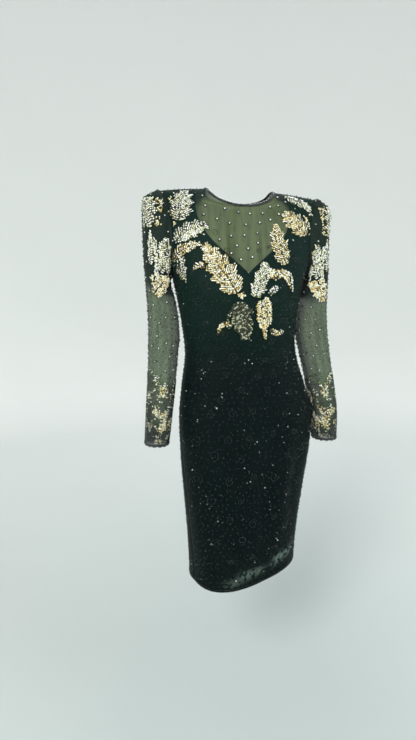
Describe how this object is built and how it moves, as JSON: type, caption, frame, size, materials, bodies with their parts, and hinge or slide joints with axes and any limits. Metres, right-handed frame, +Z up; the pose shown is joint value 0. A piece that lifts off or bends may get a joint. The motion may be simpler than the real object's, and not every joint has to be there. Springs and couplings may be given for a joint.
{
  "type": "evening dress",
  "caption": "Knee-length evening dress in worn, hollow form, with a sheer V yoke, long sheer sleeves, padded shoulders, raised leaf appliques and a centre-back zip.",
  "frame": {"origin": "midway between the two points where the shoulder seams meet the neckline", "axes": "+Z up, the front faces -Y, the wearer's left is +X"},
  "size_m": [0.5228, 0.2719, 1.0387],
  "materials": {
    "black_silk": "beaded black silk chiffon over a lining, soft sheen",
    "sheer_chiffon": "one sheer layer of beaded black chiffon",
    "black_beads": "close rows of small black glass beads",
    "black_lining": "smooth black lining and tape",
    "black_wadding": "covered shoulder wadding",
    "gold_sequins": "close gold sequins and beads",
    "silver_sequins": "close silver-gilt sequins and beads",
    "bronze_sequins": "dark bronze sequins and beads",
    "dark_metal": "black lacquered zip metal"
  },
  "bodies": {
    "dress": {"back_left": "black_silk", "back_right": "black_silk", "back_yoke_left": "sheer_chiffon", "back_yoke_right": "sheer_chiffon", "cuff_trim_left": "black_beads", "cuff_trim_right": "black_beads", "front_panel": "black_silk", "front_yoke": "sheer_chiffon", "hem_band": "black_silk", "leaf_arch_right": "gold_sequins", "leaf_arm_front_left": "silver_sequins", "leaf_arm_front_right": "silver_sequins", "leaf_arm_low_left": "gold_sequins", "leaf_arm_low_right": "gold_sequins", "leaf_arm_outer_left": "silver_sequins", "leaf_arm_outer_right": "silver_sequins", "leaf_arm_seam_left": "silver_sequins", "leaf_arm_seam_right": "silver_sequins", "leaf_bodice_hook": "gold_sequins", "leaf_bodice_middle": "bronze_sequins", "leaf_bud_left": "silver_sequins", "leaf_cap_left": "silver_sequins", "leaf_cap_right": "silver_sequins", "leaf_drop_right": "silver_sequins", "leaf_great_right": "gold_sequins", "leaf_hook_right": "gold_sequins", "leaf_ribbon_hook": "gold_sequins", "leaf_ribbon_left": "gold_sequins", "leaf_scroll_left": "gold_sequins", "leaf_seam_left": "silver_sequins", "leaf_shoulder_left": "gold_sequins", "leaf_shoulder_right": "silver_sequins", "leaf_small_left": "silver_sequins", "leaf_tall_left": "gold_sequins", "leaf_yoke_right": "silver_sequins", "lining_edge": "black_lining", "neck_trim": "black_beads", "shoulder_pad_left": "black_wadding", "shoulder_pad_right": "black_wadding", "sleeve_left": "sheer_chiffon", "sleeve_right": "sheer_chiffon", "zip_slider": "dark_metal", "zip_tape": "black_lining"},
    "zip_pull": {"zip_pull": "dark_metal"}
  },
  "joints": [
    {"name": "zip_pull_swing", "type": "hinge", "parent": "dress", "child": "zip_pull", "pos_m": [-0.00262, 0.0665, -0.04409], "axis": [1, 0, 0], "range_deg": [0, 150]}
  ]
}
